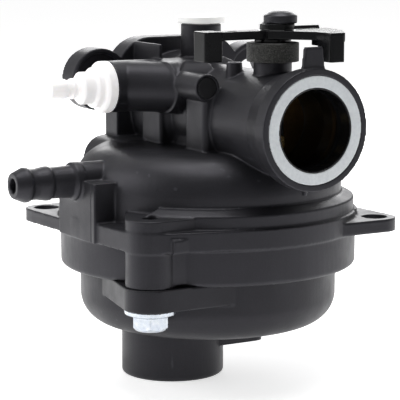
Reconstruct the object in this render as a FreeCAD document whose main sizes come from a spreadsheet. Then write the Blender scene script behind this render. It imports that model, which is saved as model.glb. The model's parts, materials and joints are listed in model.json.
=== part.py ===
import FreeCAD, Part
import math
import os
from types import SimpleNamespace

import Sketcher

# Single-barrel float-bowl carburetor with a moulded plastic body.
# Frame, in millimetres: the origin is the centre of the outlet port's face, on the bore's axis.
# +X points out of that port, along the bore. +Z is up, along the throttle and choke shafts.
# The fuel barb and the vent fitting both point along -Y.

DRIVING_SIZES = [
    ("bore_radius", 8.65, "throttle bore"),
    ("horn_bore_radius", 10.0, "air side of the bore, where the choke turns"),
    ("outlet_mouth_radius", 8.95, "register at the mouth of the outlet port"),
    ("outlet_mouth_depth", 4.0, "register at the mouth of the outlet port, along the bore"),
    ("inlet_mouth_radius", 12.2, "register at the mouth of the air inlet"),
    ("inlet_mouth_depth", 3.0, "register at the mouth of the air inlet, along the bore"),
    ("throat_radius", 7.0, "venturi throat"),
    ("barrel_radius", 11.4, "outside of the barrel"),
    ("horn_radius", 13.3, "outside of the air horn"),
    ("port_radius", 13.4, "outside of the outlet flange"),
    ("seal_radius", 11.9, "outside of the outlet seal"),
    ("seal_hole_radius", 9.3, "inside of the outlet seal, around the port's thin lip"),
    ("seal_depth", 2.2, "outlet seal along the bore"),
    ("inlet_x", -66.3, "air inlet face"),
    ("inlet_plate", 6.0, "thickness of the air inlet flange"),
    ("inlet_ear_span", 42.4, "distance between the two inlet flange holes"),
    ("inlet_ear_z", 7.2, "height of the inlet flange holes over the bore"),
    ("inlet_ear_radius", 7.4, "inlet flange ear"),
    ("inlet_hole_radius", 3.2, "inlet flange bolt hole"),
    ("throttle_x", -17.6, "throttle shaft axis"),
    ("choke_x", -49.6, "choke shaft axis"),
    ("nozzle_x", -36.0, "main nozzle axis, at the throat"),
    ("bowl_x", -42.0, "axis of the bowl and dome"),
    ("bowl_y", -2.5, "axis of the bowl and dome"),
    ("deck_z", -23.5, "top of the ear plate"),
    ("deck_thickness", 3.0, "ear plate"),
    ("dome_radius", 31.4, "dome"),
    ("dome_height", 16.4, "dome above the deck"),
    ("dome_round", 9.2, "rounding of the dome's shoulder"),
    ("skirt_radius", 34.75, "skirt around the top of the bowl"),
    ("skirt_depth", 11.3, "skirt below the deck"),
    ("bowl_radius", 30.2, "outside of the bowl"),
    ("wall", 2.0, "bowl wall"),
    ("sump_radius", 12.1, "round well under the bowl"),
    ("sump_depth", 38.35, "bottom of the well below the deck"),
    ("post_x", 22.7, "bowl screw from the bowl's axis, along X"),
    ("post_y", 27.75, "bowl screw from the bowl's axis, along Y"),
    ("post_radius", 5.6, "screw post"),
    ("tab_radius", 6.1, "bowl's screw tab"),
    ("tab_top", -11.0, "top of the bowl's screw tabs over the deck"),
    ("tab_bottom", -16.1, "underside of the bowl's screw tabs over the deck"),
    ("ear_x", 25.2, "mounting hole from the bowl's axis, along X"),
    ("ear_y", 30.2, "mounting hole from the bowl's axis, along Y"),
    ("ear_hole_radius", 2.95, "mounting hole"),
    ("screw_radius", 2.4, "bowl screw shank"),
    ("barb_x", -41.5, "fuel barb axis"),
    ("barb_z", -13.5, "fuel barb axis"),
    ("vent_x", -49.5, "vent housing axis"),
    ("vent_z", 6.6, "vent housing axis"),
    ("vent_radius", 6.0, "vent housing"),
    ("passage_y", -11.9, "air passage beside the bore"),
    ("passage_z", 7.6, "air passage beside the bore"),
    ("shoulder_x", -41.0, "round end of the vent housing's shoulder"),
    ("column_x", -50.0, "drilling from the vent down to the float chamber"),
    ("column_y", -11.8, "drilling from the vent down to the float chamber"),
    ("idle_x", -26.7, "idle jet axis"),
    ("idle_y", -4.5, "idle jet axis"),
    ("shaft_radius", 2.5, "throttle shaft"),
    ("choke_shaft_radius", 2.2, "choke shaft"),
    ("running_gap", 0.05, "radial clearance of turning and sliding pieces"),
    ("plate_gap", 0.2, "butterfly plates inside their bore"),
    ("idle_angle", 4.0, "throttle plate from fully closed, degrees"),
    ("lever_z", 18.95, "underside of the throttle lever"),
    ("lever_thickness", 1.85, "throttle lever arms"),
    ("hinge_y", -27.6, "float hinge axis"),
    ("hinge_z", -26.5, "float hinge axis"),
    ("needle_y", -23.3, "inlet needle axis"),
    ("pin_radius", 1.0, "float hinge pin"),
    ("needle_radius", 1.6, "inlet needle"),
    ("float_radius", 24.8, "outside of the float"),
    ("float_hole_radius", 13.5, "opening in the float"),
]

doc = FreeCAD.newDocument("carburetor")
sheet = doc.addObject("Spreadsheet::Sheet", "Sizes")
for row, (alias, number, meaning) in enumerate(DRIVING_SIZES, start=1):
    sheet.set(f"A{row}", meaning)
    sheet.set(f"B{row}", str(number))
    sheet.setAlias(f"B{row}", alias)
doc.recompute()


class Size:
    """A number together with the spreadsheet expression that drives it."""

    def __init__(self, number, formula):
        self.number = number
        self.formula = formula

    def __add__(self, other):
        other = as_size(other)
        return Size(self.number + other.number, f"({self.formula} + {other.formula})")

    def __sub__(self, other):
        other = as_size(other)
        return Size(self.number - other.number, f"({self.formula} - {other.formula})")

    def __mul__(self, factor):
        return Size(self.number * factor, f"({self.formula} * {factor})")

    def __neg__(self):
        return self * -1

    def __radd__(self, other):
        return as_size(other) + self

    def __rsub__(self, other):
        return as_size(other) - self


def as_size(value):
    return value if isinstance(value, Size) else Size(float(value), f"({float(value)})")


s = SimpleNamespace(**{
    alias: Size(sheet.get(alias), f"Sizes.{alias}") for alias, _, _ in DRIVING_SIZES
})

UP = {
    "X": FreeCAD.Rotation(FreeCAD.Vector(0, 1, 0), 90),
    "Y": FreeCAD.Rotation(FreeCAD.Vector(1, 0, 0), -90),
    "Z": FreeCAD.Rotation(),
}


# ---------------------------------------------------------------- small building helpers

def bind(item, field, value):
    """Drive one property of an object from the spreadsheet."""
    item.setExpression(field, as_size(value).formula)


def place(item, at, rotation=None):
    item.Placement = FreeCAD.Placement(FreeCAD.Vector(), rotation or FreeCAD.Rotation())
    for letter, value in zip("xyz", at):
        bind(item, f"Placement.Base.{letter}", value)


def rod(name, radius, start, end, axis, across):
    """Round bar along one axis from start to end; across holds its other two coordinates."""
    item = doc.addObject("Part::Cylinder", name)
    bind(item, "Radius", radius)
    bind(item, "Height", as_size(end) - start)
    at = list(across)
    at.insert("XYZ".index(axis), start)
    place(item, at, UP[axis])
    return item


def taper(name, start_radius, end_radius, start, end, axis, across):
    """Cone frustum along one axis."""
    item = doc.addObject("Part::Cone", name)
    bind(item, "Radius1", start_radius)
    bind(item, "Radius2", end_radius)
    bind(item, "Height", as_size(end) - start)
    at = list(across)
    at.insert("XYZ".index(axis), start)
    place(item, at, UP[axis])
    return item


def block(name, x_range, y_range, z_range):
    item = doc.addObject("Part::Box", name)
    ranges = (x_range, y_range, z_range)
    for field, (low, high) in zip(("Length", "Width", "Height"), ranges):
        bind(item, field, as_size(high) - low)
    place(item, [low for low, _ in ranges])
    return item


def upright_block(name, x_range, y_range, z_range, corner):
    """Block whose four edges along Z are rounded."""
    base = block(name + "_block", x_range, y_range, z_range)
    return rounded(name, base, lambda edge: abs(edge.tangentAt(edge.FirstParameter).z) > 0.99, corner)


def rounded(name, base, wanted, radius):
    """Fillet every edge of a base object that the test accepts."""
    doc.recompute()
    item = doc.addObject("Part::Fillet", name)
    item.Base = base
    radius = as_size(radius).number
    edges = enumerate(base.Shape.Edges, start=1)
    item.Edges = [(index, radius, radius) for index, edge in edges if wanted(edge)]
    return item


def joined(name, items):
    item = doc.addObject("Part::MultiFuse", name)
    item.Shapes = items
    item.Refine = True
    return item


def drilled(name, base, tools):
    """Base with every tool cut away."""
    item = doc.addObject("Part::Cut", name)
    item.Base = base
    item.Tool = tools[0] if len(tools) == 1 else joined(name + "_tools", tools)
    item.Refine = True
    return item


def gathered(name, items):
    """Separate solids kept side by side in one node."""
    item = doc.addObject("Part::Compound", name)
    item.Links = items
    return item


def new_body(name, at, rotation=None):
    body = doc.addObject("PartDesign::Body", name)
    place(body, at, rotation)
    return body


def new_sketch(body, role):
    sketch = body.newObject("Sketcher::SketchObject", body.Name + "_sketch")
    plane = next(item for item in body.Origin.OriginFeatures if item.Role == role)
    sketch.AttachmentSupport = [(plane, "")]
    sketch.MapMode = "FlatFace"
    return sketch


def pin_vertex(sketch, edge, position, point):
    """Tie one vertex to the sketch's axes with driven distances."""
    for kind, axis, value in (("DistanceX", -2, point[0]), ("DistanceY", -1, point[1])):
        value = as_size(value)
        if abs(value.number) < 1e-9:
            sketch.addConstraint(Sketcher.Constraint("PointOnObject", edge, position, axis))
            continue
        index = sketch.addConstraint(
            Sketcher.Constraint(kind, -1, 1, edge, position, value.number))
        sketch.setExpression(f"Constraints[{index}]", value.formula)


def outline(sketch, points):
    """Closed polygon through driven points."""
    corners = [FreeCAD.Vector(as_size(x).number, as_size(y).number, 0) for x, y in points]
    for start, end in zip(corners, corners[1:] + corners[:1]):
        sketch.addGeometry(Part.LineSegment(start, end), False)
    for index, point in enumerate(points):
        following = (index + 1) % len(points)
        sketch.addConstraint(Sketcher.Constraint("Coincident", index, 2, following, 1))
        pin_vertex(sketch, index, 1, point)


def turned(name, axis, profile, at, heading=None):
    """Solid of revolution from (distance along the axis, radius); heading turns it about Z."""
    body = new_body(name, at)
    if heading:
        body.Placement.Rotation = FreeCAD.Rotation(FreeCAD.Vector(0, 0, 1), heading.number)
        bind(body, "Placement.Rotation.Angle", heading)
    role, reference = {"X": ("XZ_Plane", "H_Axis"), "Y": ("YZ_Plane", "H_Axis"),
                       "Z": ("XZ_Plane", "V_Axis")}[axis]
    sketch = new_sketch(body, role)
    outline(sketch, [(r, a) for a, r in profile] if axis == "Z" else profile)
    turn = body.newObject("PartDesign::Revolution", name + "_turn")
    turn.Profile = (sketch, [""])
    turn.ReferenceAxis = (sketch, [reference])
    turn.Angle = 360
    return body


def round_rings(body, rings, radius):
    """Fillet the circular edges of a turned body, each given as (distance along Z, radius)."""
    doc.recompute()
    base = body.Tip
    names = []
    for index, edge in enumerate(base.Shape.Edges, start=1):
        if not isinstance(edge.Curve, Part.Circle):
            continue
        here = (edge.Curve.Center.z, edge.Curve.Radius)
        if any(math.dist(here, (as_size(z).number, as_size(r).number)) < 0.01 for z, r in rings):
            names.append(f"Edge{index}")
    fillet = body.newObject("PartDesign::Fillet", base.Name + "_round")
    fillet.Base = (base, names)
    bind(fillet, "Radius", radius)
    return body


def extruded(name, points, low, high, at):
    """Flat plate: a polygon in XY padded from low to high over a point."""
    body = new_body(name, (at[0], at[1], as_size(low) + at[2]))
    sketch = new_sketch(body, "XY_Plane")
    outline(sketch, points)
    pad = body.newObject("PartDesign::Pad", name + "_pad")
    pad.Profile = (sketch, [""])
    bind(pad, "Length", as_size(high) - low)
    return body


def lobe(name, hub_radius, tip, tip_radius, low, high, at):
    """Plate between a hub circle at the origin and a smaller tip circle, with tangent sides."""
    body = new_body(name, (at[0], at[1], as_size(at[2]) + low))
    sketch = new_sketch(body, "XY_Plane")
    big = as_size(hub_radius).number
    small = as_size(tip_radius).number
    tip_x, tip_y = (as_size(value).number for value in tip)
    heading = math.atan2(tip_y, tip_x)
    spread = math.acos((big - small) / math.hypot(tip_x, tip_y))
    flat = FreeCAD.Vector(0, 0, 1)
    centre = FreeCAD.Vector()
    tip_centre = FreeCAD.Vector(tip_x, tip_y, 0)

    def on_circle(middle, radius, angle):
        return middle + FreeCAD.Vector(radius * math.cos(angle), radius * math.sin(angle), 0)

    left, right = heading + spread, heading - spread
    hub_arc = Part.ArcOfCircle(Part.Circle(centre, flat, big), left, right + 2 * math.pi)
    tip_arc = Part.ArcOfCircle(Part.Circle(tip_centre, flat, small), right, left)
    right_side = Part.LineSegment(on_circle(centre, big, right), on_circle(tip_centre, small, right))
    left_side = Part.LineSegment(on_circle(tip_centre, small, left), on_circle(centre, big, left))
    for curve in (hub_arc, right_side, tip_arc, left_side):
        sketch.addGeometry(curve, False)
    for first, first_end, second, second_end in ((0, 2, 1, 1), (1, 2, 2, 1), (2, 2, 3, 1), (3, 2, 0, 1)):
        sketch.addConstraint(Sketcher.Constraint("Tangent", first, first_end, second, second_end))
    sketch.addConstraint(Sketcher.Constraint("Coincident", 0, 3, -1, 1))
    pin_vertex(sketch, 2, 3, tip)
    for arc, radius in ((0, hub_radius), (2, tip_radius)):
        index = sketch.addConstraint(Sketcher.Constraint("Radius", arc, as_size(radius).number))
        sketch.setExpression(f"Constraints[{index}]", as_size(radius).formula)
    pad = body.newObject("PartDesign::Pad", name + "_pad")
    pad.Profile = (sketch, [""])
    bind(pad, "Length", as_size(high) - low)
    return body


BOWL_AXIS = (s.bowl_x, s.bowl_y)
AT_BOWL = (s.bowl_x, s.bowl_y, s.deck_z)
ON_BORE = (0, 0)
DIAGONAL = ((1, -1), (-1, 1))


def deck(height):
    """Height over the deck, as a height in the row's frame."""
    return s.deck_z + height


def posts(name, radius, low, high):
    """One upright bar at each bowl screw; low and high are heights over the deck."""
    return [
        rod(f"{name}_{side}", radius, deck(low), deck(high), "Z",
            (s.bowl_x + s.post_x * side, s.bowl_y - s.post_y * side))
        for side, _ in DIAGONAL
    ]


# ---------------------------------------------------------------- moulded body

def dome_and_deck():
    """Round dome, square ear plate, stepped pads and the skirt that holds the bowl."""
    dome = turned("dome", "Z", [
        (-s.skirt_depth, 0), (-s.skirt_depth, s.dome_radius),
        (s.dome_height, s.dome_radius), (s.dome_height, 0)], AT_BOWL)
    round_rings(dome, [(s.dome_height, s.dome_radius)], s.dome_round)
    skirt = turned("skirt", "Z", [
        (-s.skirt_depth, 0), (-s.skirt_depth, s.skirt_radius), (1.4, s.skirt_radius), (1.4, 0)], AT_BOWL)
    round_rings(skirt, [(-s.skirt_depth, s.skirt_radius), (1.4, s.skirt_radius)], 1.0)
    foot = turned("dome_foot", "Z", [
        (0.5, 0), (0.5, 34.3), (4.4, 34.3), (5.6, 32.0), (5.6, 0)], AT_BOWL)
    ear_plate = upright_block(
        "ear_plate",
        (s.bowl_x - 30.2, s.bowl_x + 30.2),
        (s.bowl_y - 35.1, s.bowl_y + 35.1),
        (deck(-s.deck_thickness), deck(0)), 5.0)
    items = [
        dome, skirt,
        drilled("dome_foot_trimmed", foot, corner_cuts("foot_cut", (9.9, 20.4), (24.0, 36.0), (0, 7))),
        drilled("ear_plate_trimmed", ear_plate, plate_cuts()),
    ]
    for side, mirror in DIAGONAL:
        tip = (s.post_x * side, s.post_y * mirror)
        items.append(lobe(f"deck_lobe_{side}", s.skirt_radius + 0.35, tip, s.post_radius + 0.12,
                          -s.deck_thickness, 1.4, AT_BOWL))
        pad_corners = [(19.9, 32.6), (9.5, 26.6), (0, 0), (28.3, 0), (28.3, 27.75)]
        items.append(extruded(f"post_pad_{side}", [(x * side, y * mirror) for x, y in pad_corners],
                              0.5, 4.1, AT_BOWL))
    items += posts("screw_post", s.post_radius, s.tab_top, 4.1)
    items.append(block("post_web", (s.bowl_x + 25.8, s.bowl_x + 27.4),
                       (s.bowl_y - 27, s.bowl_y - 20), (deck(-10.6), deck(-2))))
    return items


def corner_cuts(name, x_range, y_range, heights):
    """Blocks to cut at the two corners where the screw posts stand."""
    cuts = []
    for side, mirror in DIAGONAL:
        x_low, x_high = sorted(side * x for x in x_range)
        y_low, y_high = sorted(mirror * y for y in y_range)
        cuts.append(block(f"{name}_{side}", (s.bowl_x + x_low, s.bowl_x + x_high),
                          (s.bowl_y + y_low, s.bowl_y + y_high), [deck(height) for height in heights]))
    return cuts


def plate_cuts():
    """Corners of the ear plate outside the screw posts, with edges that run from the ears to the posts."""
    corner = [(-25.0, 35.2), (19.9, 32.7), (19.9, 26.0), (40.0, 26.0), (40.0, 42.0), (-25.0, 42.0)]
    return [
        extruded(f"ear_cut_{side}", [(x * side, y * mirror) for x, y in corner], -5, 2, AT_BOWL)
        for side, mirror in DIAGONAL
    ]


def stop_tab():
    """Upright tab on the outlet flange, narrower at its top."""
    tab = doc.addObject("Part::Wedge", "stop_tab")
    ranges = {"X": (-1.8, -0.8), "X2": (-1.8, -0.8), "Y": (12.6, 18.0), "Z": (-2.9, 2.9), "Z2": (-2.2, 2.2)}
    for field, (low, high) in ranges.items():
        bind(tab, field + "min", low)
        bind(tab, field + "max", high)
    tab.Placement.Rotation = FreeCAD.Rotation(FreeCAD.Vector(1, 0, 0), 90)
    return tab


def barrel():
    """Outlet flange, barrel, air horn and the stop tab on top of the flange."""
    return [
        rod("port_flange", s.port_radius, -3.4, 0, "X", ON_BORE),
        taper("port_collar", 11.9, s.port_radius, -9.4, -3.4, "X", ON_BORE),
        rod("barrel_tube", s.barrel_radius, -47, -8, "X", ON_BORE),
        rod("air_horn", s.horn_radius, s.inlet_x + 1, -45.5, "X", ON_BORE),
        taper("horn_step", s.horn_radius, s.barrel_radius, -45.5, -43.5, "X", ON_BORE),
        stop_tab(),
        block("port_fin", (-3.2, -1.6), (-1.6, -1.0), (-14.4, -12.4)),
        rod("throttle_boss", 4.3, 8, 13.8, "Z", (s.throttle_x, 0)),
        rod("throttle_foot", 4.3, -18.5, -8, "Z", (s.throttle_x, 0)),
        rod("choke_boss", 4.75, 8, 20.45, "Z", (s.choke_x, 0)),
        rod("choke_foot", 4.3, -16.5, -8, "Z", (s.choke_x, 0)),
        taper("idle_boss", 2.15, 1.75, 8.5, 13.15, "Z", (s.idle_x, s.idle_y)),
        block("bearing_web", (s.throttle_x - 1.2, s.throttle_x + 1.2), (-9, 9), (-15, -8)),
    ]


def inlet_flange():
    """Flat flange on the air side with an ear each side and a wide foot behind the dome."""
    front = s.inlet_x + s.inlet_plate
    plate = block("inlet_plate_block", (s.inlet_x, front), (-17.0, 17.2), (-18, 16.9))
    plate = rounded("inlet_plate_round", plate, lambda edge: edge.BoundBox.XLength > 1
                    and edge.BoundBox.ZMin > 0, 9.2)
    foot = block("inlet_foot_block", (s.inlet_x, s.inlet_x + 14), (-23.1, 23.1), (-24.5, -6.7))
    foot = rounded("inlet_foot_round", foot, lambda edge: edge.BoundBox.XLength > 1
                   and edge.BoundBox.ZMin > -20, 5.5)
    items = [plate, foot]
    for side in (1, -1):
        items.append(rod(f"inlet_ear_{side}", s.inlet_ear_radius, s.inlet_x, front, "X",
                         (s.inlet_ear_span * (0.5 * side), s.inlet_ear_z)))
    return items


def fuel_inlet():
    """Hose barb, and the pedestal that carries its tube into the dome."""
    barb = turned("fuel_barb", "Y", [
        (-53.0, 0), (-53.0, 2.9), (-50.5, 3.95), (-49.6, 3.95), (-49.2, 3.55), (-47.6, 3.5),
        (-45.3, 3.9), (-44.5, 3.9), (-44.1, 3.55), (-39.0, 3.7), (-38.6, 4.35), (-36.8, 4.35),
        (-36.8, 4.25), (-20.0, 4.25), (-20.0, 0)], (s.barb_x, 0, s.barb_z))
    pedestal = block("pedestal", (-50.2, -32.1), (-37.5, -20), (deck(-s.deck_thickness), deck(10.4)))
    return [barb, pedestal]


def shoulder_blend():
    """Slanted bar that leads the vent housing into the round end of its shoulder."""
    bar = doc.addObject("Part::Cylinder", "shoulder_blend")
    bind(bar, "Radius", s.vent_radius - 0.15)
    bind(bar, "Height", 14.4)
    place(bar, (s.vent_x, -20.5, s.vent_z), FreeCAD.Rotation(FreeCAD.Vector(0, 0, 1), FreeCAD.Vector(1, 1, 0)))
    return bar


def vent_and_passages():
    """Vent housing and its shoulder, the drilled air passage beside the bore, and the pillars under them."""
    return [
        rod("vent_housing", s.vent_radius, -25.1, -6.0, "Y", (s.vent_x, s.vent_z)),
        rod("air_passage", 3.1, -50, -26, "X", (s.passage_y, s.passage_z)),
        shoulder_blend(),
        rod("shoulder_end", s.vent_radius - 0.05, -14.6, -4.0, "Y", (s.shoulder_x, s.vent_z)),
        block("shoulder", (s.vent_x, s.shoulder_x), (-14.6, -4.0),
              (s.vent_z - s.vent_radius + 0.05, s.vent_z + s.vent_radius - 0.05)),
        upright_block("vent_pillar", (-54.2, -44.8), (-13.7, -2), (-12, 4.0), 0.8),
        block("passage_wall", (-46, -34), (-10.4, -2), (-12, 7.0)),
        upright_block("passage_pillar", (-35.0, -26.0), (-12.8, -2), (-12, 7.0), 1.2),
        block("bracket", (-60.6, -47.9), (-12.2, -11.3), (6.0, 16.0)),
    ]


def float_chamber():
    """Space inside the dome, and the counterbore for the bowl and its gasket."""
    return turned("chamber", "Z", [
        (-s.skirt_depth - 1, 0), (-s.skirt_depth - 1, s.bowl_radius + 0.15), (-6.0, s.bowl_radius + 0.15),
        (-6.0, 28.6), (3.5, 28.6), (10.6, 21.5), (10.6, 0)], AT_BOWL)


def carburetor_body():
    outside = joined("body_outside", dome_and_deck() + barrel() + inlet_flange()
                     + fuel_inlet() + vent_and_passages())
    tab_seats = tab_lobes("tab_seat", s.tab_radius + 0.3, s.tab_top - 1, s.tab_top)
    hollow = drilled("body_hollow", outside, [float_chamber()] + tab_seats)
    inner_posts = [
        rod("nozzle_post", 3.8, deck(-21.4), deck(11.2), "Z", (s.nozzle_x, 0)),
        rod("seat_post", 3.9, deck(-0.4), deck(11.2), "Z", (s.barb_x, s.needle_y)),
        rod("throttle_bearing", 4.3, deck(5.2), deck(11.2), "Z", (s.throttle_x, 0)),
        rod("choke_bearing", 3.8, deck(8.2), deck(11.2), "Z", (s.choke_x, 0)),
    ]
    for side in (1, -1):
        near, far = sorted((side * 7.4, side * 9.6))
        inner_posts.append(block(f"hinge_lug_{side}", (s.barb_x + near, s.barb_x + far),
                                 (s.hinge_y - 2.2, s.hinge_y + 2.2), (s.hinge_z - 2.0, deck(8.5))))
    solid = joined("body_solid", [hollow] + inner_posts)
    bell_x = s.inlet_x + s.inlet_mouth_depth
    holes = [
        rod("outlet_mouth", s.outlet_mouth_radius, -s.outlet_mouth_depth, 1, "X", ON_BORE),
        rod("bore_hole", s.bore_radius, -27, 1, "X", ON_BORE),
        taper("venturi_exit", s.throat_radius, s.bore_radius, -34, -27, "X", ON_BORE),
        rod("throat_hole", s.throat_radius, -44, -33, "X", ON_BORE),
        taper("venturi_entry", s.horn_bore_radius, s.throat_radius, -43, -38, "X", ON_BORE),
        rod("horn_hole", s.horn_bore_radius, s.inlet_x - 1, -43, "X", ON_BORE),
        rod("inlet_mouth", s.inlet_mouth_radius, s.inlet_x - 1, bell_x, "X", ON_BORE),
        rod("spigot_relief", s.inlet_mouth_radius + 0.3, s.inlet_x - 12, s.inlet_x, "X", ON_BORE),
        taper("bell_mouth", s.inlet_mouth_radius, s.horn_bore_radius, bell_x, bell_x + 2.5, "X", ON_BORE),
        ring("seal_recess", s.seal_hole_radius, s.seal_radius, -s.seal_depth, 1, "X", ON_BORE),
        rod("throttle_hole", s.shaft_radius + s.running_gap, -14.5, 16, "Z", (s.throttle_x, 0)),
        rod("choke_hole", s.choke_shaft_radius + s.running_gap, -13.5, 22, "Z", (s.choke_x, 0)),
        rod("idle_hole", 1.1, 5, 14, "Z", (s.idle_x, s.idle_y)),
        rod("nozzle_hole", 2.0, deck(-23), -4, "Z", (s.nozzle_x, 0)),
        rod("fuel_hole", 1.7, -54, s.needle_y + 1.0, "Y", (s.barb_x, s.barb_z)),
        rod("seat_hole", 1.2, deck(6), s.barb_z, "Z", (s.barb_x, s.needle_y)),
        rod("needle_hole", s.needle_radius + s.running_gap, deck(-1), deck(7.1), "Z", (s.barb_x, s.needle_y)),
        rod("seat_recess", 2.3, deck(5.0), deck(7.1), "Z", (s.barb_x, s.needle_y)),
        rod("pin_hole", s.pin_radius + 0.02, s.barb_x - 10.6, s.barb_x + 10.6, "X", (s.hinge_y, s.hinge_z)),
        rod("vent_hole", 4.3, -26, -15, "Y", (s.vent_x, s.vent_z)),
        rod("vent_drilling", 1.5, -16, -11.8, "Y", (s.vent_x, s.vent_z)),
        rod("column_drilling", 1.1, -14, 7.0, "Z", (s.column_x, s.column_y)),
        rod("passage_hole", 2.45, -29, -25, "X", (s.passage_y, s.passage_z)),
        rod("passage_drilling", 1.2, -50, -28, "X", (s.passage_y, s.passage_z)),
        block("pedestal_groove", (-33.95, -33.45), (-38, -37.0), (deck(-4), deck(9.6))),
    ]
    holes += posts("screw_hole", s.screw_radius + s.running_gap, -12, -1)
    holes += posts("screw_tip_hole", 1.75, -1.5, 5)
    for side, mirror in DIAGONAL:
        ear = (s.bowl_x - s.ear_x * side, s.bowl_y + s.ear_y * mirror)
        holes.append(rod(f"ear_hole_{side}", s.ear_hole_radius, deck(-4), deck(1.5), "Z", ear))
        holes.append(rod(f"ear_land_{side}", 4.6, deck(0), deck(1.6), "Z", ear))
    for side in (1, -1):
        across = (s.inlet_ear_span * (0.5 * side), s.inlet_ear_z)
        holes.append(rod(f"inlet_hole_{side}", s.inlet_hole_radius, s.inlet_x - 1, s.inlet_x + 8, "X", across))
        holes.append(rod(f"inlet_spot_{side}", 6.2, s.inlet_x + 4.2, s.inlet_x + 7.5, "X", across))
    return drilled("carburetor_body", solid, holes)


# ---------------------------------------------------------------- bowl and its fasteners

def tab_lobes(name, radius, low, high):
    """Outline of the bowl's two screw tabs between two heights over the deck."""
    return [
        lobe(f"{name}_{side}", radius + 22.5, (s.post_x * side, s.post_y * mirror), radius, low, high, AT_BOWL)
        for side, mirror in DIAGONAL
    ]


def float_bowl():
    """Round bowl with an off-centre well, two screw tabs and a drain rib."""
    shell = turned("bowl_shell", "Z", [
        (-28.3, 0), (-27.4, 14.6), (-24.0, s.bowl_radius), (-8.0, s.bowl_radius), (-8.0, 0)], AT_BOWL)
    round_rings(shell, [(-24.0, s.bowl_radius)], 7.0)
    sump_across = (s.bowl_x - 4.0, s.bowl_y - 7.4)
    sump = turned("sump", "Z", [
        (-s.sump_depth, 0), (-s.sump_depth, s.sump_radius), (-24.0, s.sump_radius), (-24.0, 0)],
        (*sump_across, s.deck_z))
    round_rings(sump, [(-s.sump_depth, s.sump_radius)], 0.9)
    tabs = tab_lobes("bowl_tab", s.tab_radius, s.tab_bottom, s.tab_top)
    rib = upright_block("bowl_rib", (s.bowl_x - 6, s.bowl_x + 6), (s.bowl_y - 2, s.bowl_y + 12.5),
                        (deck(-31.3), deck(-26)), 2.5)
    solid = joined("bowl_solid", [shell, sump, rib] + tabs)
    inside = turned("bowl_inside", "Z", [
        (-23.8, 0), (-23.8, 21.0), (-19.5, s.bowl_radius - s.wall),
        (-7.0, s.bowl_radius - s.wall), (-7.0, 0)], AT_BOWL)
    well = rod("sump_inside", s.sump_radius - s.wall, deck(-s.sump_depth + s.wall), deck(-23), "Z", sump_across)
    holes = posts("tab_hole", 2.8, -17, -10) + posts("flange_spot", 6.2, -26, s.tab_bottom)
    return drilled("float_bowl", solid, [inside, well] + holes)


def bowl_gasket():
    return turned("bowl_gasket", "Z", [
        (-8.0, 28.65), (-8.0, s.bowl_radius), (-6.0, s.bowl_radius), (-6.0, 28.65)], AT_BOWL)


def bowl_screws():
    """Hex flange screws, one in each post."""
    screws = []
    for side, mirror in DIAGONAL:
        across = (s.bowl_x + s.post_x * side, s.bowl_y + s.post_y * mirror)
        head = doc.addObject("Part::Prism", f"hex_{side}")
        head.Polygon = 6
        bind(head, "Circumradius", 7.6 / math.sqrt(3))
        bind(head, "Height", 3.6)
        place(head, (*across, deck(-20.8)), FreeCAD.Rotation(FreeCAD.Vector(0, 0, 1), 30))
        dish = taper(f"hex_crown_{side}", 3.4, 6.6, deck(-20.8), deck(-17.6), "Z", across)
        crowned = doc.addObject("Part::Common", f"hex_head_{side}")
        crowned.Base = head
        crowned.Tool = dish
        flange = turned(f"screw_flange_{side}", "Z", [
            (-17.6, 0), (-17.6, 4.3), (-17.0, 5.8), (s.tab_bottom, 5.9), (s.tab_bottom, 0)],
            (*across, s.deck_z))
        shank = rod(f"screw_shank_{side}", s.screw_radius, deck(-16.3), deck(-3.0), "Z", across)
        screws.append(joined(f"bowl_screw_{side}", [crowned, flange, shank]))
    return gathered("bowl_screws", screws)


# ---------------------------------------------------------------- ports and passages

def ring(name, inner, outer, start, end, axis, across):
    return drilled(name, rod(name + "_disc", outer, start, end, axis, across),
                   [rod(name + "_hole", inner, as_size(start) - 1, as_size(end) + 1, axis, across)])


def outlet_seal():
    return ring("outlet_seal", s.seal_hole_radius, s.seal_radius, -s.seal_depth, 0, "X", ON_BORE)


def vent_fitting():
    """Stepped nozzle pressed into the vent housing; its flange closes the housing's mouth."""
    return turned("vent_fitting", "Y", [
        (9.0, 0.8), (9.0, 3.6), (5.6, 3.6), (5.4, 3.0), (3.8, 3.0), (3.6, 4.2), (0, 4.2), (0, s.vent_radius),
        (-2.0, s.vent_radius), (-2.5, 5.5), (-2.7, 4.7), (-4.0, 4.7), (-4.4, 4.2), (-4.5, 3.75),
        (-7.1, 3.75), (-7.6, 3.2), (-7.8, 1.95), (-8.3, 2.05), (-8.8, 2.4), (-9.4, 2.4), (-10.0, 2.05),
        (-10.6, 2.05), (-11.1, 2.33), (-11.6, 2.33), (-14.8, 1.95), (-15.1, 1.6), (-15.1, 0.8)],
        (s.vent_x, -25.1, s.vent_z))


def vent_fitting_oring():
    item = doc.addObject("Part::Torus", "vent_fitting_oring")
    bind(item, "Radius1", 3.68)
    bind(item, "Radius2", 0.62)
    place(item, (s.vent_x, -20.5, s.vent_z), UP["Y"])
    return item


def passage_plug():
    return rod("passage_plug", 2.4, -28.5, -26.05, "X", (s.passage_y, s.passage_z))


# ---------------------------------------------------------------- throttle

def throttle_shaft():
    """Upright shaft, slotted for its plate, with a domed head over the lever."""
    across = (s.throttle_x, 0)
    cap_across = (s.throttle_x + 0.85, 1.4)
    bar = rod("throttle_bar", s.shaft_radius, -14.2, 22.4, "Z", across)
    cap = turned("throttle_cap", "Z", [
        (22.25, 0), (22.25, 3.6), (22.5, 3.75), (23.9, 3.75), (24.15, 3.5), (24.7, 2.6), (25.0, 1.6),
        (25.05, 0)], (*cap_across, 0))
    slot = tilted_disc("plate_slot", s.bore_radius - s.plate_gap + 0.05)
    return drilled("throttle_shaft", joined("throttle_shaft_solid", [bar, cap]),
                   [slot] + plate_screw_ways("shaft_screw_way"))


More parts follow.
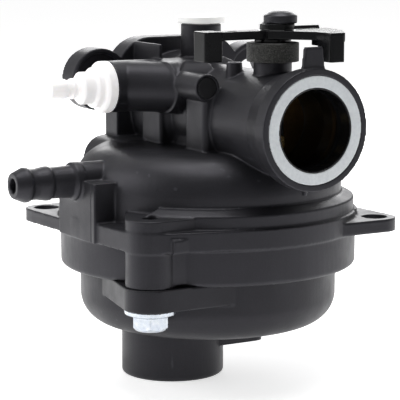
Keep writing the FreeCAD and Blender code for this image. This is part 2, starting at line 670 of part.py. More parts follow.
def tilted_disc(name, radius):
    """Disc one millimetre thick across the bore, at the idle angle."""
    return turned(name, "X", [(-0.5, 0), (-0.5, radius), (0.5, radius), (0.5, 0)],
                  (s.throttle_x, 0, 0), s.idle_angle)


def plate_screw_ways(name):
    """Drillings for the plate's screws, with a recess for each head."""
    return on_plate_screws(name, [(-3.0, 0), (-3.0, 0.95), (2.0, 0.95), (2.0, 1.8), (4.0, 1.8), (4.0, 0)])


def on_plate_screws(name, profile):
    """The same turned shape at both of the plate's screws."""
    return [
        turned(f"{name}_{number}", "X", profile, (s.throttle_x, 0, height), s.idle_angle)
        for number, height in enumerate((4.2, -4.2), start=1)
    ]


def throttle_plate():
    disc = tilted_disc("throttle_disc", s.bore_radius - s.plate_gap)
    return drilled("throttle_plate", disc, plate_screw_ways("plate_screw_way"))


def throttle_plate_screws():
    """Two cheese-head screws that hold the plate in the shaft's slot."""
    return gathered("throttle_plate_screws", on_plate_screws("plate_screw", [
        (-2.3, 0), (-2.3, 0.9), (2.0, 0.9), (2.0, 1.7), (2.7, 1.7), (3.0, 1.35), (3.0, 0)]))


def throttle_lever():
    """Bell-crank lever: a straight arm and a broad arm, each ending in a hanging stop block."""
    top = s.lever_z + s.lever_thickness
    across = (s.throttle_x, 0)
    hub = rod("lever_hub", 3.9, s.lever_z, 22.2, "Z", (s.throttle_x + 0.45, 0.8))
    neck = rod("lever_neck", 4.1, 18.05, s.lever_z + 0.1, "Z", across)
    straight = block("lever_straight", (s.throttle_x - 2.3, s.throttle_x + 2.3), (-18.2, 0), (s.lever_z, top))
    left_block = upright_block("lever_left_block", (s.throttle_x - 3.05, s.throttle_x + 2.55), (-18.8, -14.3),
                               (14.3, top + 0.1), 0.7)
    broad = extruded("lever_broad", [
        (2.8, -3.2), (11.0, 4.2), (16.4, 4.6), (16.4, 8.2), (9.0, 12.6), (0.5, 14.6), (-2.2, 13.0),
        (-3.6, 3.0)], s.lever_z, top, (s.throttle_x, 0, 0))
    right_block = upright_block("lever_right_block", (-6.7, -1.0), (4.4, 8.2), (14.4, top - 0.3), 0.7)
    haunch = block("lever_haunch", (-9.4, -5.0), (4.8, 7.8), (17.7, s.lever_z + 0.1))
    rib = block("lever_rib", (s.throttle_x - 2.6, s.throttle_x - 1.3), (4.5, 13.2), (top - 0.1, top + 0.6))
    solid = joined("lever_solid", [hub, neck, straight, left_block, broad, right_block, haunch, rib])
    hole = rod("lever_hole", s.shaft_radius, 17, 22.3, "Z", across)
    link_hole = rod("lever_link_hole", 1.1, s.lever_z - 1, top + 1, "Z", (s.throttle_x, -10.5))
    return drilled("throttle_lever", solid, [hole, link_hole])


def throttle_shaft_seal():
    return ring("throttle_shaft_seal", s.shaft_radius + 0.3, 5.85, 13.8, 18.0, "Z", (s.throttle_x, 0))


# ---------------------------------------------------------------- choke

def choke_shaft():
    """One-piece moulded shaft with a round head, a link arm and a slot for the plate."""
    across = (s.choke_x, 0)
    bar = rod("choke_bar", s.choke_shaft_radius, -13.2, 21, "Z", across)
    head = rod("choke_head", 5.65, 20.7, 22.25, "Z", across)
    arm = lobe("choke_arm", 3.2, (-11.26, 6.5), 2.2, 20.75, 21.85, (s.choke_x, 0, 0))
    solid = joined("choke_shaft_solid", [bar, head, arm])
    slot = block("choke_slot", (s.choke_x - 4, s.choke_x + 4), (-0.5, 0.5), (-9.85, 9.85))
    link_hole = rod("choke_link_hole", 1.1, 20, 23, "Z", (s.choke_x - 11.26, 6.5))
    return drilled("choke_shaft", solid, [slot, link_hole])


def choke_plate():
    """Round plate, open at rest, with a small relief hole."""
    disc = rod("choke_disc", s.horn_bore_radius - s.plate_gap, -0.5, 0.5, "Y", (s.choke_x, 0))
    relief = rod("choke_relief", 1.5, -1, 1, "Y", (s.choke_x + 5.5, -3.0))
    return drilled("choke_plate", disc, [relief])


# ---------------------------------------------------------------- float and fuel metering

def float_assembly():
    """Ring float with a hinge arm, hanging at its lower stop."""
    low, high = deck(-18.0), deck(-5.0)
    outer = turned("float_outer", "Z", [
        (-18.0, 0), (-18.0, s.float_radius), (-5.0, s.float_radius), (-5.0, 0)], AT_BOWL)
    round_rings(outer, [(-18.0, s.float_radius), (-5.0, s.float_radius)], 1.5)
    opening = rod("float_opening", s.float_hole_radius, low - 1, high + 1, "Z", BOWL_AXIS)
    flat_side = block("float_flat", (s.bowl_x - 12, s.bowl_x + 13), (-32, -21.8), (low - 1, high + 1))
    arm = block("float_arm", (s.barb_x - 5.5, s.barb_x + 5.5), (s.hinge_y, -20.8),
                (s.hinge_z - 2.0, s.hinge_z - 0.4))
    arm_root = block("float_arm_root", (s.barb_x - 5.5, s.barb_x + 5.5), (-22.2, -19.0),
                     (high - 1.0, s.hinge_z - 0.4))
    knuckle = rod("float_knuckle", 1.8, s.barb_x - 6.6, s.barb_x + 6.6, "X", (s.hinge_y, s.hinge_z))
    pin_way = rod("float_pin_way", s.pin_radius + s.running_gap, s.barb_x - 8, s.barb_x + 8, "X",
                  (s.hinge_y, s.hinge_z))
    ring_part = drilled("float_ring", outer, [opening, flat_side])
    solid = joined("float_solid", [ring_part, arm, arm_root, knuckle])
    return drilled("float", solid, [pin_way])


def float_hinge_pin():
    return rod("float_hinge_pin", s.pin_radius, s.barb_x - 10.2, s.barb_x + 10.2, "X", (s.hinge_y, s.hinge_z))


def inlet_needle():
    """Guided needle with a conical tip, just off its seat while the float hangs."""
    return turned("inlet_needle", "Z", [
        (-3.2, 0), (-3.2, 0.7), (-2.4, s.needle_radius), (3.6, s.needle_radius), (5.9, 0.35), (5.9, 0)],
        (s.barb_x, s.needle_y, s.deck_z))


def inlet_seat():
    return turned("inlet_seat", "Z", [
        (5.0, 1.75), (5.0, 2.3), (7.0, 2.3), (7.0, 0.9), (5.9, 0.9)], (s.barb_x, s.needle_y, s.deck_z))


def main_nozzle():
    """Emulsion tube from the bowl up into the throat."""
    tube = rod("nozzle_tube", 1.97, deck(-18.2), -4.2, "Z", (s.nozzle_x, 0))
    bore = rod("nozzle_bore", 1.1, deck(-19), -4, "Z", (s.nozzle_x, 0))
    cross = [
        rod(f"nozzle_cross_{number}", 0.4, -38.5, -33.5, "X", (0, deck(height)))
        for number, height in enumerate((-15, -11, -7), start=1)
    ]
    return drilled("main_nozzle", tube, [bore] + cross)


def main_jet():
    return turned("main_jet", "Z", [
        (-22.0, 0.5), (-22.0, 2.6), (-21.4, 2.6), (-21.4, 1.95), (-18.2, 1.95), (-18.2, 1.0), (-20.4, 0.5)],
        (s.nozzle_x, 0, s.deck_z))


def idle_jet():
    return turned("idle_jet", "Z", [
        (5.5, 0.3), (5.5, 1.05), (12.6, 1.05), (12.6, 0.5), (11.6, 0.3)], (s.idle_x, s.idle_y, 0))


SUB_PARTS = [
    carburetor_body, float_bowl, bowl_gasket, bowl_screws, outlet_seal, vent_fitting,
    vent_fitting_oring, passage_plug, throttle_shaft, throttle_plate, throttle_plate_screws,
    throttle_lever, throttle_shaft_seal, choke_shaft, choke_plate, float_assembly,
    float_hinge_pin, inlet_needle, inlet_seat, main_nozzle, main_jet, idle_jet,
]

nodes = []
for make in SUB_PARTS:
    node = make()
    node.Label = node.Name
    nodes.append(node)
doc.recompute()

for item in doc.Objects:
    if "Invalid" in item.State or "Error" in item.State:
        raise RuntimeError(f"{item.Name} failed: {item.State}")
os.makedirs("parts", exist_ok=True)
for node in nodes:
    if node.Shape.isNull() or not node.Shape.isValid():
        raise RuntimeError(f"{node.Label} has no valid shape")
for node in nodes:
    node.Shape.exportStep(f"parts/{node.Label}.step")
    box = node.Shape.BoundBox
    print(f"{node.Label}: {len(node.Shape.Solids)} solids, {node.Shape.Volume:.0f} mm3, "
          f"x {box.XMin:.1f}..{box.XMax:.1f} y {box.YMin:.1f}..{box.YMax:.1f} z {box.ZMin:.1f}..{box.ZMax:.1f}")
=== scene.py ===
import json
import math

import bmesh
import bpy
import numpy as np
from mathutils import Matrix, Vector


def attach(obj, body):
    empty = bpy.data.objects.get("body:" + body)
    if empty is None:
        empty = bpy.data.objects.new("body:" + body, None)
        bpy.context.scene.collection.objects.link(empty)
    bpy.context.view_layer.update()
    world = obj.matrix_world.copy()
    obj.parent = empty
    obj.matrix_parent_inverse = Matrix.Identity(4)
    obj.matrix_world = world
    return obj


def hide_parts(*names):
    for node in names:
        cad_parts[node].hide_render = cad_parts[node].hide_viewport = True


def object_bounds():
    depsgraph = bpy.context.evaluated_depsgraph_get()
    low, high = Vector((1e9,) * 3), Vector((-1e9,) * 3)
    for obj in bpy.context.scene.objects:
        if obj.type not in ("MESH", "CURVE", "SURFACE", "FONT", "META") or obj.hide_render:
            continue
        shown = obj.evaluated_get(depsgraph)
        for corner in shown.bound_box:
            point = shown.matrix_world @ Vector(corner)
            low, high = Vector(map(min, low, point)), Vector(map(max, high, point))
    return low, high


# Looks of the float-bowl carburetor around its CAD frame: softened mouldings, felt, rubber, zinc and brass.
# Metres, in the row's frame: +X out of the outlet port, +Z up, the origin at the port's face.

MM = 0.001
CAMERA_AZIMUTH = math.radians(60)
CAMERA_ELEVATION = math.radians(9)
CAMERA_DISTANCE = 0.4374
CAMERA_TARGET = Vector((-0.04293, -0.0041, -0.0207))
CAMERA_LENS = 166.5
LAMP_DISTANCE = 0.7
FLOOR_RADIUS = 6.0
FLOOR_GLOW = 0.66
FLOOR_GLOW_FADE = (0.02, 0.16)  # metres ahead of the port's face, towards the camera
STUDIO_FADE = (-0.35, 0.6)  # cosine of the angle from the camera's side
STUDIO_STRENGTH = (0.45, 0.2)  # behind, and on the camera's side

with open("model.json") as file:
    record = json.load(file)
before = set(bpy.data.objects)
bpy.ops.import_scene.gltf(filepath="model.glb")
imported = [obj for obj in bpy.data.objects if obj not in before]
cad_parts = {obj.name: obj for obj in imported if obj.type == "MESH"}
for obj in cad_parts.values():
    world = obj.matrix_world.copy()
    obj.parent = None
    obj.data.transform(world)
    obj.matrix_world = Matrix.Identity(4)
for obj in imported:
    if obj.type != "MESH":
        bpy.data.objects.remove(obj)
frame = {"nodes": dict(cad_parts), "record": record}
cad_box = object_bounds()


# ---------------------------------------------------------------- meshes

def node_mesh(node):
    """A welded copy of a CAD node's mesh."""
    mesh = frame["nodes"][node].data.copy()
    mesh.materials.clear()
    work = bmesh.new()
    work.from_mesh(mesh)
    bmesh.ops.remove_doubles(work, verts=work.verts, dist=1e-7)
    work.to_mesh(mesh)
    work.free()
    return mesh


def new_piece(name, mesh):
    piece = bpy.data.objects.new(name, mesh)
    bpy.context.scene.collection.objects.link(piece)
    return piece


def apply_modifiers(piece):
    """Bake the modifiers into the piece's own mesh."""
    bpy.context.view_layer.update()
    graph = bpy.context.evaluated_depsgraph_get()
    mesh = bpy.data.meshes.new_from_object(piece.evaluated_get(graph))
    piece.modifiers.clear()
    piece.data = mesh


def vectors(items, field):
    """A vector field of a mesh's items as an array with three columns."""
    values = np.empty(len(items) * 3)
    items.foreach_get(field, values)
    return values.reshape(-1, 3)


def set_vertices(mesh, points):
    mesh.vertices.foreach_set("co", points.ravel())
    mesh.update()


def shade_smooth(mesh):
    mesh.polygons.foreach_set("use_smooth", [True] * len(mesh.polygons))


def round_creases(mesh, voxel, hollow_radius, edge_radius, passes):
    """Move points along their normals until no hollow and no edge is sharper than its radius."""
    ends = np.empty(len(mesh.edges) * 2, np.int64)
    mesh.edges.foreach_get("vertices", ends)
    first, second = ends.reshape(-1, 2).T
    points = vectors(mesh.vertices, "co")
    count = len(points)
    neighbours = np.bincount(first, minlength=count) + np.bincount(second, minlength=count)
    hollow_limit = voxel ** 2 / (4 * hollow_radius)
    edge_limit = voxel ** 2 / (4 * edge_radius)
    passes_per_normals = 8
    step, slide = 0.9, 0.25
    for turn in range(passes):
        if turn % passes_per_normals == 0:
            set_vertices(mesh, points)
            normals = vectors(mesh.vertex_normals, "vector")
        total = np.stack([
            np.bincount(first, points[second, k], count) + np.bincount(second, points[first, k], count)
            for k in range(3)
        ], axis=1)
        pull = total / neighbours[:, None] - points
        lift = (pull * normals).sum(axis=1)
        sliding = pull - lift[:, None] * normals
        fill = np.maximum(lift - hollow_limit, 0)
        wear = np.minimum(lift + edge_limit, 0)
        points = points + step * (fill + wear)[:, None] * normals + slide * sliding
    set_vertices(mesh, points)


def softened(node, voxel, hollow_radius, edge_radius, passes, share):
    """Copy of a CAD node with moulded edges and fillets, kept inside the node's box."""
    piece = new_piece(node + "_soft", node_mesh(node))
    corners = vectors(piece.data.vertices, "co")
    low, high = corners.min(axis=0), corners.max(axis=0)
    remesh = piece.modifiers.new("voxels", "REMESH")
    remesh.mode = "VOXEL"
    remesh.voxel_size = voxel
    apply_modifiers(piece)
    round_creases(piece.data, voxel, hollow_radius, edge_radius, passes)
    if share < 1:
        thin = piece.modifiers.new("thin", "DECIMATE")
        thin.ratio = share
        apply_modifiers(piece)
    set_vertices(piece.data, np.clip(vectors(piece.data.vertices, "co"), low, high))
    shade_smooth(piece.data)
    return piece


def lathed(name, profile, segments=144):
    """Closed ring from a profile of (x, radius) points in mm, turned about the bore's axis."""
    mesh = bpy.data.meshes.new(name)
    points = [
        (x * MM, radius * MM * math.cos(angle), radius * MM * math.sin(angle))
        for angle in (math.tau * k / segments for k in range(segments))
        for x, radius in profile
    ]
    count = len(profile)
    faces = [
        (turn * count + k, turn * count + (k + 1) % count,
         (turn + 1) % segments * count + (k + 1) % count, (turn + 1) % segments * count + k)
        for turn in range(segments) for k in range(count)
    ]
    mesh.from_pydata(points, [], faces)
    work = bmesh.new()
    work.from_mesh(mesh)
    bmesh.ops.recalc_face_normals(work, faces=work.faces)
    work.to_mesh(mesh)
    work.free()
    shade_smooth(mesh)
    return new_piece(name, mesh)


def finished(piece, node, material):
    """Give a piece its material and body, and hide the CAD node that it stands for."""
    piece.data.materials.clear()
    piece.data.materials.append(material)
    body = next(name for name, nodes in frame["record"]["behaviour"]["bodies"].items() if node in nodes)
    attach(piece, body)
    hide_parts(node)


# ---------------------------------------------------------------- material building blocks

class Nodes:
    """A node material with its Principled shader and object coordinates in metres."""

    def __init__(self, name, **inputs):
        self.material = bpy.data.materials.new(name)
        self.material.use_nodes = True
        self.tree = self.material.node_tree
        self.shader = self.tree.nodes["Principled BSDF"]
        self.place = self.add("ShaderNodeTexCoord").outputs["Object"]
        for field, value in inputs.items():
            self.shader.inputs[field.replace("_", " ")].default_value = value

    def add(self, kind, **settings):
        node = self.tree.nodes.new(kind)
        for field, value in settings.items():
            setattr(node, field, value)
        return node

    def link(self, source, target):
        self.tree.links.new(source, target)

    def noise(self, size, detail=3.0, rough=0.5, stretch=None):
        """Noise whose features are about this many metres across."""
        node = self.add("ShaderNodeTexNoise")
        node.inputs["Scale"].default_value = 1 / size
        node.inputs["Detail"].default_value = detail
        node.inputs["Roughness"].default_value = rough
        place = self.place
        if stretch:
            mapping = self.add("ShaderNodeMapping")
            mapping.inputs["Scale"].default_value = stretch
            self.link(self.place, mapping.inputs["Vector"])
            place = mapping.outputs["Vector"]
        self.link(place, node.inputs["Vector"])
        return node.outputs["Fac"]

    def cells(self, size, feature="F1"):
        node = self.add("ShaderNodeTexVoronoi", feature=feature)
        node.inputs["Scale"].default_value = 1 / size
        self.link(self.place, node.inputs["Vector"])
        return node.outputs["Distance"]

    def ramp(self, source, stops):
        """Colour ramp with stops of (position, colour or grey)."""
        node = self.add("ShaderNodeValToRGB")
        elements = node.color_ramp.elements
        while len(elements) < len(stops):
            elements.new(0.5)
        for element, (position, colour) in zip(elements, stops):
            element.position = position
            colour = (colour,) * 3 if isinstance(colour, float) else colour
            element.color = (*colour, 1)
        self.link(source, node.inputs["Fac"])
        return node.outputs["Color"]

    def mapped(self, source, before, after, **settings):
        """Map the numbers in one range to another range."""
        node = self.add("ShaderNodeMapRange", **settings)
        for field, value in zip(("From Min", "From Max", "To Min", "To Max"), (*before, *after)):
            node.inputs[field].default_value = value
        self.link(source, node.inputs["Value"])
        return node.outputs["Result"]

    def spread(self, noise, low, high):
        """Map the usual range of a noise to a range of numbers."""
        return self.mapped(noise, (0.3, 0.7), (low, high))

    def mixed(self, first, second, factor):
        node = self.add("ShaderNodeMix", data_type="RGBA")
        sockets = node.inputs["Factor"], node.inputs[6], node.inputs[7]
        for value, socket in zip((factor, first, second), sockets):
            if isinstance(value, bpy.types.NodeSocket):
                self.link(value, socket)
            else:
                socket.default_value = value
        return node.outputs[2]

    def added(self, first, second, share):
        """First plus a share of second."""
        node = self.add("ShaderNodeMath", operation="MULTIPLY_ADD")
        self.link(second, node.inputs[0])
        node.inputs[1].default_value = share
        self.link(first, node.inputs[2])
        return node.outputs[0]

    def edges(self, low, high):
        """Worn, convex edges as a factor from 0 to 1."""
        geometry = self.add("ShaderNodeNewGeometry")
        return self.mapped(geometry.outputs["Pointiness"], (low, high), (0, 1))

    def beyond(self, radius):
        """0 within a radius of the bore's axis, 1 outside it."""
        flat = self.add("ShaderNodeVectorMath", operation="MULTIPLY")
        flat.inputs[1].default_value = (0, 1, 1)
        self.link(self.place, flat.inputs[0])
        length = self.add("ShaderNodeVectorMath", operation="LENGTH")
        self.link(flat.outputs["Vector"], length.inputs[0])
        step = self.add("ShaderNodeMath", operation="GREATER_THAN")
        step.inputs[1].default_value = radius
        self.link(length.outputs["Value"], step.inputs[0])
        return step.outputs[0]

    def bump(self, height, depth, strength=1.0):
        node = self.add("ShaderNodeBump")
        node.inputs["Distance"].default_value = depth
        node.inputs["Strength"].default_value = strength
        self.link(height, node.inputs["Height"])
        self.link(node.outputs["Normal"], self.shader.inputs["Normal"])

    def colour(self, source):
        self.link(source, self.shader.inputs["Base Color"])

    def roughness(self, source):
        self.link(source, self.shader.inputs["Roughness"])


# ---------------------------------------------------------------- materials

def scaled(tone, factor):
    return tuple(factor * c for c in tone)


def moulded_nylon(name, tone, rough, grain=0.22 * MM, shine=0.4, bore_shade_radius=0.0):
    """Satin black glass-filled nylon: fine spark-eroded grain, faint flow clouds, paler rubbed edges.

    Inside the given radius of the bore's axis it is darker: painted shade of the deep bore.
    """
    m = Nodes(name, Specular_IOR_Level=shine, Specular_Tint=(0.92, 0.9, 1.0, 1))
    clouds = m.noise(14 * MM, 4)
    speckle = m.noise(0.35 * MM, 2)
    base = m.ramp(clouds, [(0.3, scaled(tone, 0.82)), (0.7, scaled(tone, 1.18))])
    base = m.mixed(base, (*scaled(tone, 1.9), 1), m.spread(speckle, -0.05, 0.3))
    colour = m.mixed(base, (*scaled(tone, 2.6), 1), m.edges(0.53, 0.62))
    # painted shade: near-black colour on the body's wall inside the bore
    if bore_shade_radius:
        colour = m.mixed((0.003, 0.003, 0.003, 1), colour, m.beyond(bore_shade_radius))
    m.colour(colour)
    m.roughness(m.spread(m.noise(5 * MM, 5), rough - 0.05, rough + 0.06))
    grainy = m.added(m.noise(grain, 2, 0.6), m.cells(grain * 2), 0.35)
    m.bump(m.added(grainy, m.noise(3 * MM, 2), 1.2), 0.014 * MM)
    return m.material


def glossy_black(name, tone, rough, shine=0.5):
    """Smooth moulded plastic with faint handling marks."""
    m = Nodes(name, Specular_IOR_Level=shine)
    m.colour(m.ramp(m.noise(6 * MM, 3), [(0.3, scaled(tone, 0.8)), (0.7, scaled(tone, 1.25))]))
    scuffs = m.noise(1.5 * MM, 6, 0.7, (1, 5, 1))
    m.roughness(m.spread(scuffs, rough - 0.03, rough + 0.06))
    m.bump(m.added(m.noise(2.5 * MM, 2), m.noise(0.3 * MM, 2), 0.08), 0.01 * MM)
    return m.material


def white_nylon(name, tone, depth, glow):
    """Natural nylon or acetal that lets a little light in; its glow stands for light from all round."""
    m = Nodes(name, Subsurface_Weight=depth, Subsurface_Scale=1.2 * MM, Emission_Strength=glow)
    m.shader.inputs["Emission Color"].default_value = (*tone, 1)
    m.shader.inputs["Subsurface Radius"].default_value = (1.0, 0.85, 0.65)
    cloud = m.noise(2.5 * MM, 3)
    m.colour(m.ramp(cloud, [(0.3, scaled(tone, 0.94)), (0.7, tone)]))
    m.roughness(m.spread(m.noise(0.8 * MM, 3), 0.3, 0.42))
    m.bump(m.noise(0.4 * MM, 3), 0.008 * MM)
    return m.material


def soft_rubber(name, tone, rough, bloom=0.15):
    """Moulded rubber with a dusty bloom."""
    m = Nodes(name)
    dusty = tuple(min(1.0, c * 1.35 + 0.02) for c in tone) + (1,)
    base = m.ramp(m.noise(3 * MM, 4), [(0.3, scaled(tone, 0.93)), (0.7, tone)])
    m.colour(m.mixed(base, dusty, m.spread(m.noise(0.7 * MM, 5), 0.0, bloom)))
    m.roughness(m.spread(m.noise(1.2 * MM, 3), rough - 0.06, rough + 0.08))
    m.bump(m.added(m.noise(0.25 * MM, 3), m.noise(1.8 * MM, 2), 0.8), 0.01 * MM)
    return m.material


def pressed_felt(name):
    """Grey-flecked black felt."""
    m = Nodes(name, Roughness=0.95, Sheen_Weight=0.5, Sheen_Roughness=0.45, Specular_IOR_Level=0.15)
    fleck = m.noise(0.3 * MM, 4, 0.75)
    black, grey, pale = (0.022, 0.022, 0.021), (0.055, 0.055, 0.052), (0.16, 0.16, 0.15)
    m.colour(m.ramp(fleck, [(0.36, black), (0.52, grey), (0.68, pale)]))
    hairs = m.added(m.noise(0.12 * MM, 3, 0.7, (1, 1, 2.5)), m.noise(0.5 * MM, 3), 0.7)
    m.bump(hairs, 0.12 * MM)
    return m.material


def zinc_plate(name):
    """Bright zinc plating with a blue passivate, crystals and handling marks."""
    m = Nodes(name, Metallic=1.0)
    crystals = m.cells(0.9 * MM)
    base = m.ramp(crystals, [(0.0, (0.46, 0.5, 0.57)), (0.6, (0.53, 0.57, 0.63)), (1.0, (0.62, 0.64, 0.68))])
    m.colour(m.mixed(base, (0.72, 0.74, 0.66, 1), m.spread(m.noise(1.6 * MM, 3), -0.1, 0.25)))
    m.roughness(m.spread(m.noise(0.5 * MM, 5, 0.7), 0.16, 0.26))
    m.bump(m.added(m.noise(0.15 * MM, 3), m.noise(1.1 * MM, 2), 0.8), 0.004 * MM)
    return m.material


def turned_metal(name, tones, rough, stretch=(1, 1, 12)):
    """Machined or stamped metal with fine tool lines."""
    m = Nodes(name, Metallic=1.0)
    lines = m.noise(0.35 * MM, 4, 0.6, stretch)
    stain = m.noise(2.2 * MM, 4, 0.6)
    dark, light, stained = tones
    base = m.ramp(lines, [(0.3, dark), (0.7, light)])
    m.colour(m.mixed(base, (*stained, 1), m.spread(stain, -0.1, 0.45)))
    m.roughness(m.spread(stain, rough - 0.06, rough + 0.1))
    m.bump(lines, 0.01 * MM)
    return m.material


def closed_cell_foam(name):
    """Black float foam with a cell pattern."""
    m = Nodes(name, Specular_IOR_Level=0.25)
    cells = m.cells(0.3 * MM)
    m.colour(m.ramp(cells, [(0.0, 0.012), (0.5, 0.03), (1.0, 0.055)]))
    m.roughness(m.spread(m.noise(1.0 * MM, 3), 0.7, 0.85))
    m.bump(cells, 0.05 * MM)
    return m.material


# Each metal's tones: dark tool line, light tool line, stain.
BRASS_TONES = [(0.62, 0.42, 0.15), (0.86, 0.66, 0.34), (0.42, 0.27, 0.1)]
# painted shade: brass tones darkened for the throttle plate, which sits in shade deep in the bore
SHADED_PLATE_TONES = [(0.12, 0.07, 0.025), (0.2, 0.125, 0.05), (0.05, 0.03, 0.012)]
STEEL_TONES = [(0.42, 0.42, 0.43), (0.62, 0.62, 0.62), (0.3, 0.28, 0.26)]
NEEDLE_TONES = [(0.58, 0.59, 0.61), (0.76, 0.77, 0.79), (0.5, 0.5, 0.5)]

# painted shade: the body's colour goes near black inside the bore
body_nylon = moulded_nylon("body_nylon", (0.0135, 0.0135, 0.0158), 0.42, bore_shade_radius=9.2 * MM)
bowl_nylon = moulded_nylon("bowl_nylon", (0.0115, 0.0115, 0.0132), 0.42, grain=0.26 * MM, shine=0.33)
shaft_nylon = moulded_nylon("shaft_nylon", (0.018, 0.0185, 0.021), 0.36, grain=0.3 * MM)
plug_nylon = moulded_nylon("plug_nylon", (0.012, 0.012, 0.0125), 0.6)
# painted shade: glossy black for the bore's wall, darker than the body's nylon for the shade inside the bore
shaded_bore_black = glossy_black("shaded_bore_black", (0.006, 0.006, 0.0065), 0.16)
lever_black = glossy_black("lever_black", (0.005, 0.0052, 0.006), 0.16, shine=0.22)
fitting_white = white_nylon("fitting_white", (0.9, 0.885, 0.885), depth=0.2, glow=0.36)
choke_acetal = white_nylon("choke_acetal", (0.84, 0.84, 0.83), depth=0.1, glow=0.36)
seal_rubber = soft_rubber("seal_rubber", (0.7, 0.735, 0.765), 0.5, bloom=0.3)
dark_rubber = soft_rubber("dark_rubber", (0.018, 0.018, 0.018), 0.6)
seat_rubber = soft_rubber("seat_rubber", (0.1, 0.035, 0.02), 0.5)
felt = pressed_felt("felt")
zinc = zinc_plate("zinc")
brass = turned_metal("brass", BRASS_TONES, 0.28)
# painted shade: the throttle plate's brass, darkened for the shade inside the bore
shaded_plate_brass = turned_metal("shaded_plate_brass", SHADED_PLATE_TONES, 0.34, (1, 10, 1))
plate_steel = turned_metal("plate_steel", STEEL_TONES, 0.35, (1, 8, 1))
needle_metal = turned_metal("needle_metal", NEEDLE_TONES, 0.25)
float_foam = closed_cell_foam("float_foam")


# ---------------------------------------------------------------- pieces

def plain_nodes():
    """CAD nodes whose shape is right: they keep it and get their material."""
    kept = {
        "bowl_gasket": dark_rubber, "vent_fitting_oring": dark_rubber, "throttle_plate": shaded_plate_brass,
        "throttle_plate_screws": brass, "choke_plate": plate_steel, "float": float_foam,
        "float_hinge_pin": plate_steel, "inlet_needle": needle_metal, "inlet_seat": seat_rubber,
        "main_nozzle": brass, "main_jet": brass, "idle_jet": brass,
    }
    for node, material in kept.items():
        mesh = frame["nodes"][node].data
        mesh.materials.clear()
        mesh.materials.append(material)


def soft_nodes():
    """CAD nodes that a softened copy stands for."""
    # node, voxel, hollow radius and edge radius in mm, passes, share of the faces kept, material, slot
    rows = [
        ("carburetor_body", 0.25, 0.8, 0.22, 44, 0.35, body_nylon, "body_plastic"),
        ("float_bowl", 0.25, 0.6, 0.25, 34, 0.35, bowl_nylon, "body_plastic"),
        ("passage_plug", 0.15, 0.3, 0.3, 12, 1.0, plug_nylon, "plug_plastic"),
        ("throttle_shaft", 0.16, 0.3, 0.35, 20, 0.6, shaft_nylon, "shaft_plastic"),
        ("throttle_lever", 0.14, 0.5, 0.2, 30, 0.6, lever_black, "lever_plastic"),
        ("choke_shaft", 0.16, 0.4, 0.3, 20, 0.6, choke_acetal, "choke_white"),
        ("vent_fitting", 0.14, 0.4, 0.3, 20, 0.6, fitting_white, "nozzle_white"),
        ("bowl_screws", 0.12, 0.25, 0.16, 16, 0.6, zinc, "zinc_steel"),
        ("outlet_seal", 0.16, 0.3, 0.25, 16, 0.7, seal_rubber, "seal_grey"),
        ("throttle_shaft_seal", 0.2, 0.4, 0.35, 16, 1.0, felt, "felt"),
    ]
    for node, voxel, hollow_radius, edge_radius, passes, share, material, slot in rows:
        piece = softened(node, voxel * MM, hollow_radius * MM, edge_radius * MM, passes, share)
        finished(piece, node, material)


def bore_lining():
    """Smooth moulded lip and wall of the outlet bore, as far in as the throttle shaft; its glossy black is
    darkened with painted shade.
    """
    face, inner_end, back = -0.02, -9.6, 9.27
    register, bore = 8.92, 8.62
    lip = [(face, back), (face, 9.12), (-0.06, 9.03), (-0.14, 8.97), (-0.26, 8.93), (-0.42, register)]
    step = [(-3.3, register), (-3.5, 8.9), (-3.68, 8.85), (-3.84, 8.77)]
    step += [(-3.98, 8.68), (-4.15, 8.63), (-4.4, bore)]
    lining = lathed("bore_lining", lip + step + [(inner_end, bore), (inner_end, back)])
    lining.data.materials.append(shaded_bore_black)
    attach(lining, "housing")


# ---------------------------------------------------------------- studio

def floor():
    """Pale paper under the carburetor; its glow fades towards the camera's side."""
    low, high = cad_box
    mesh = bpy.data.meshes.new("floor")
    work = bmesh.new()
    centre = Matrix.Translation(((low[0] + high[0]) / 2, (low[1] + high[1]) / 2, low[2]))
    bmesh.ops.create_circle(work, cap_ends=True, segments=96, radius=FLOOR_RADIUS, matrix=centre)
    work.to_mesh(mesh)
    work.free()
    disc = new_piece("floor", mesh)
    m = Nodes("floor_paper", Roughness=0.8, Specular_IOR_Level=0.2, Emission_Strength=FLOOR_GLOW)
    ahead = m.add("ShaderNodeVectorMath", operation="DOT_PRODUCT")
    ahead.inputs[1].default_value = (math.sin(CAMERA_AZIMUTH), -math.cos(CAMERA_AZIMUTH), 0)
    m.link(m.place, ahead.inputs[0])
    glow = m.mapped(ahead.outputs["Value"], FLOOR_GLOW_FADE, (1, 0), interpolation_type="SMOOTHSTEP")
    m.link(glow, m.shader.inputs["Emission Color"])
    m.colour(m.ramp(m.noise(0.5, 3), [(0.3, 0.9), (0.7, 0.92)]))
    disc.data.materials.append(m.material)


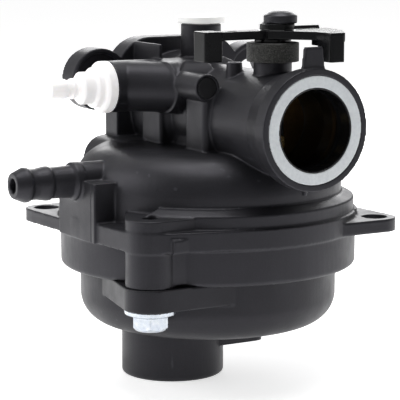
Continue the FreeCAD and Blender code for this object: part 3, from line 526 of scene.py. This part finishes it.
def area_light(name, direction, size, power):
    """Soft box that looks at the carburetor's middle from a direction."""
    light = bpy.data.lights.new(name, "AREA")
    light.shape = "RECTANGLE"
    light.size, light.size_y = size
    light.energy = power
    lamp = bpy.data.objects.new(name, light)
    bpy.context.scene.collection.objects.link(lamp)
    heading = Vector(direction).normalized()
    lamp.location = CAMERA_TARGET + LAMP_DISTANCE * heading
    lamp.rotation_euler = heading.to_track_quat("Z", "Y").to_euler()


def set_camera(towards_camera):
    lens = bpy.data.cameras.new("camera")
    lens.lens = CAMERA_LENS
    lens.clip_start = 0.01
    camera = bpy.data.objects.new("camera", lens)
    bpy.context.scene.collection.objects.link(camera)
    camera.location = CAMERA_TARGET + CAMERA_DISTANCE * towards_camera
    camera.rotation_euler = towards_camera.to_track_quat("Z", "Y").to_euler()
    bpy.context.scene.camera = camera


def set_world(dim_side):
    """White surroundings that are dimmer on one side, where the dark front of a studio is."""
    world = bpy.data.worlds.new("studio")
    bpy.context.scene.world = world
    world.use_nodes = True
    tree = world.node_tree
    background = tree.nodes["Background"]
    background.inputs["Color"].default_value = (1, 1, 1, 1)
    place = tree.nodes.new("ShaderNodeTexCoord").outputs["Generated"]
    facing = tree.nodes.new("ShaderNodeVectorMath")
    facing.operation = "DOT_PRODUCT"
    facing.inputs[1].default_value = dim_side
    tree.links.new(place, facing.inputs[0])
    shade = tree.nodes.new("ShaderNodeMapRange")
    shade.interpolation_type = "SMOOTHSTEP"
    for field, value in zip(("From Min", "From Max", "To Min", "To Max"), (*STUDIO_FADE, *STUDIO_STRENGTH)):
        shade.inputs[field].default_value = value
    tree.links.new(facing.outputs["Value"], shade.inputs["Value"])
    tree.links.new(shade.outputs["Result"], background.inputs["Strength"])


def studio():
    """Camera at the object's three-quarter view, three soft boxes and the surroundings."""
    towards_camera = Vector((
        math.sin(CAMERA_AZIMUTH) * math.cos(CAMERA_ELEVATION),
        -math.cos(CAMERA_AZIMUTH) * math.cos(CAMERA_ELEVATION),
        math.sin(CAMERA_ELEVATION)))
    set_camera(towards_camera)
    bpy.context.scene.view_settings.view_transform = "Standard"
    area_light("key", (-0.4, -1.0, 0.55), (0.5, 0.5), 1.7)
    area_light("top", (0.0, 0.0, 1.0), (0.5, 0.5), 3.2)
    area_light("rim", (-0.8, 0.55, 0.4), (0.5, 0.28), 2.0)
    set_world(towards_camera)


plain_nodes()
soft_nodes()
bore_lining()
floor()
studio()
